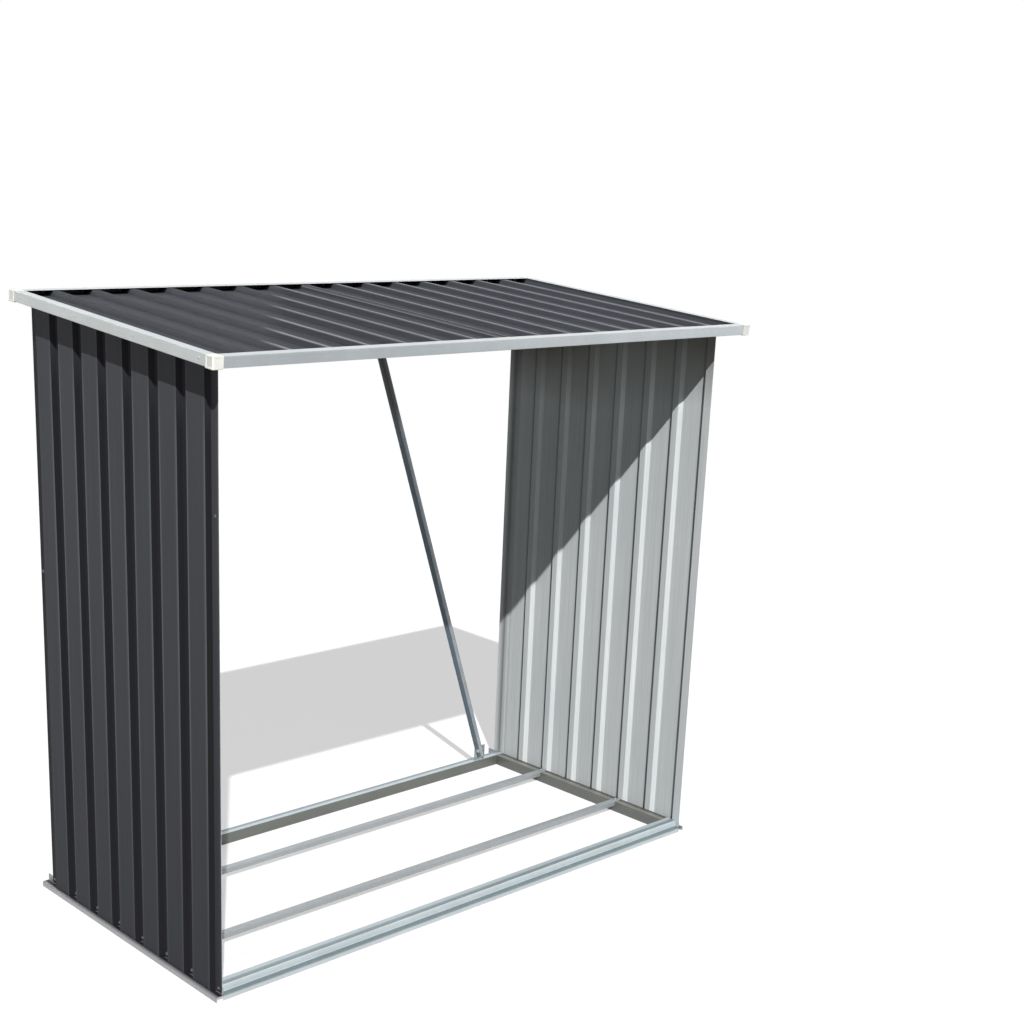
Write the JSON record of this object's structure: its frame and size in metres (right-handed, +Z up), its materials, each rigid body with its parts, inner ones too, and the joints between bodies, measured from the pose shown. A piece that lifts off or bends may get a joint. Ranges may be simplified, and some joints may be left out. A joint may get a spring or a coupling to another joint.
{
  "type": "log store",
  "caption": "Open-fronted log store of ribbed anthracite steel sheet with a pent roof on a rolled galvanised frame, a white cap at each roof corner and a diagonal brace.",
  "frame": {"origin": "on the floor under the middle of the whole store's outline, roof overhangs included", "axes": "+X along the open front to the right as seen from the front, +Y to the back, +Z up"},
  "size_m": [1.731, 0.865, 1.5449],
  "materials": {
    "coated_sheet": "satin anthracite coating outside, pale grey coating inside",
    "galvanised_steel": "dull zinc coating with a faint spangle",
    "corner_cap": "moulded white plastic, satin"
  },
  "bodies": {
    "root": {"left_wall_sheet": "coated_sheet", "right_wall_sheet": "coated_sheet", "left_roof_sheet": "coated_sheet", "right_roof_sheet": "coated_sheet", "front_base_rail": "galvanised_steel", "back_base_rail": "galvanised_steel", "left_base_rail": "galvanised_steel", "right_base_rail": "galvanised_steel", "front_floor_bar": "galvanised_steel", "rear_floor_bar": "galvanised_steel", "left_wall_top_angle": "galvanised_steel", "right_wall_top_angle": "galvanised_steel", "front_roof_channel": "galvanised_steel", "back_roof_channel": "galvanised_steel", "left_roof_channel": "galvanised_steel", "right_roof_channel": "galvanised_steel", "diagonal_brace": "galvanised_steel", "upper_brace_bracket": "galvanised_steel", "lower_brace_bracket": "galvanised_steel", "front_left_cap": "corner_cap", "front_right_cap": "corner_cap", "back_left_cap": "corner_cap", "back_right_cap": "corner_cap"}
  },
  "joints": []
}
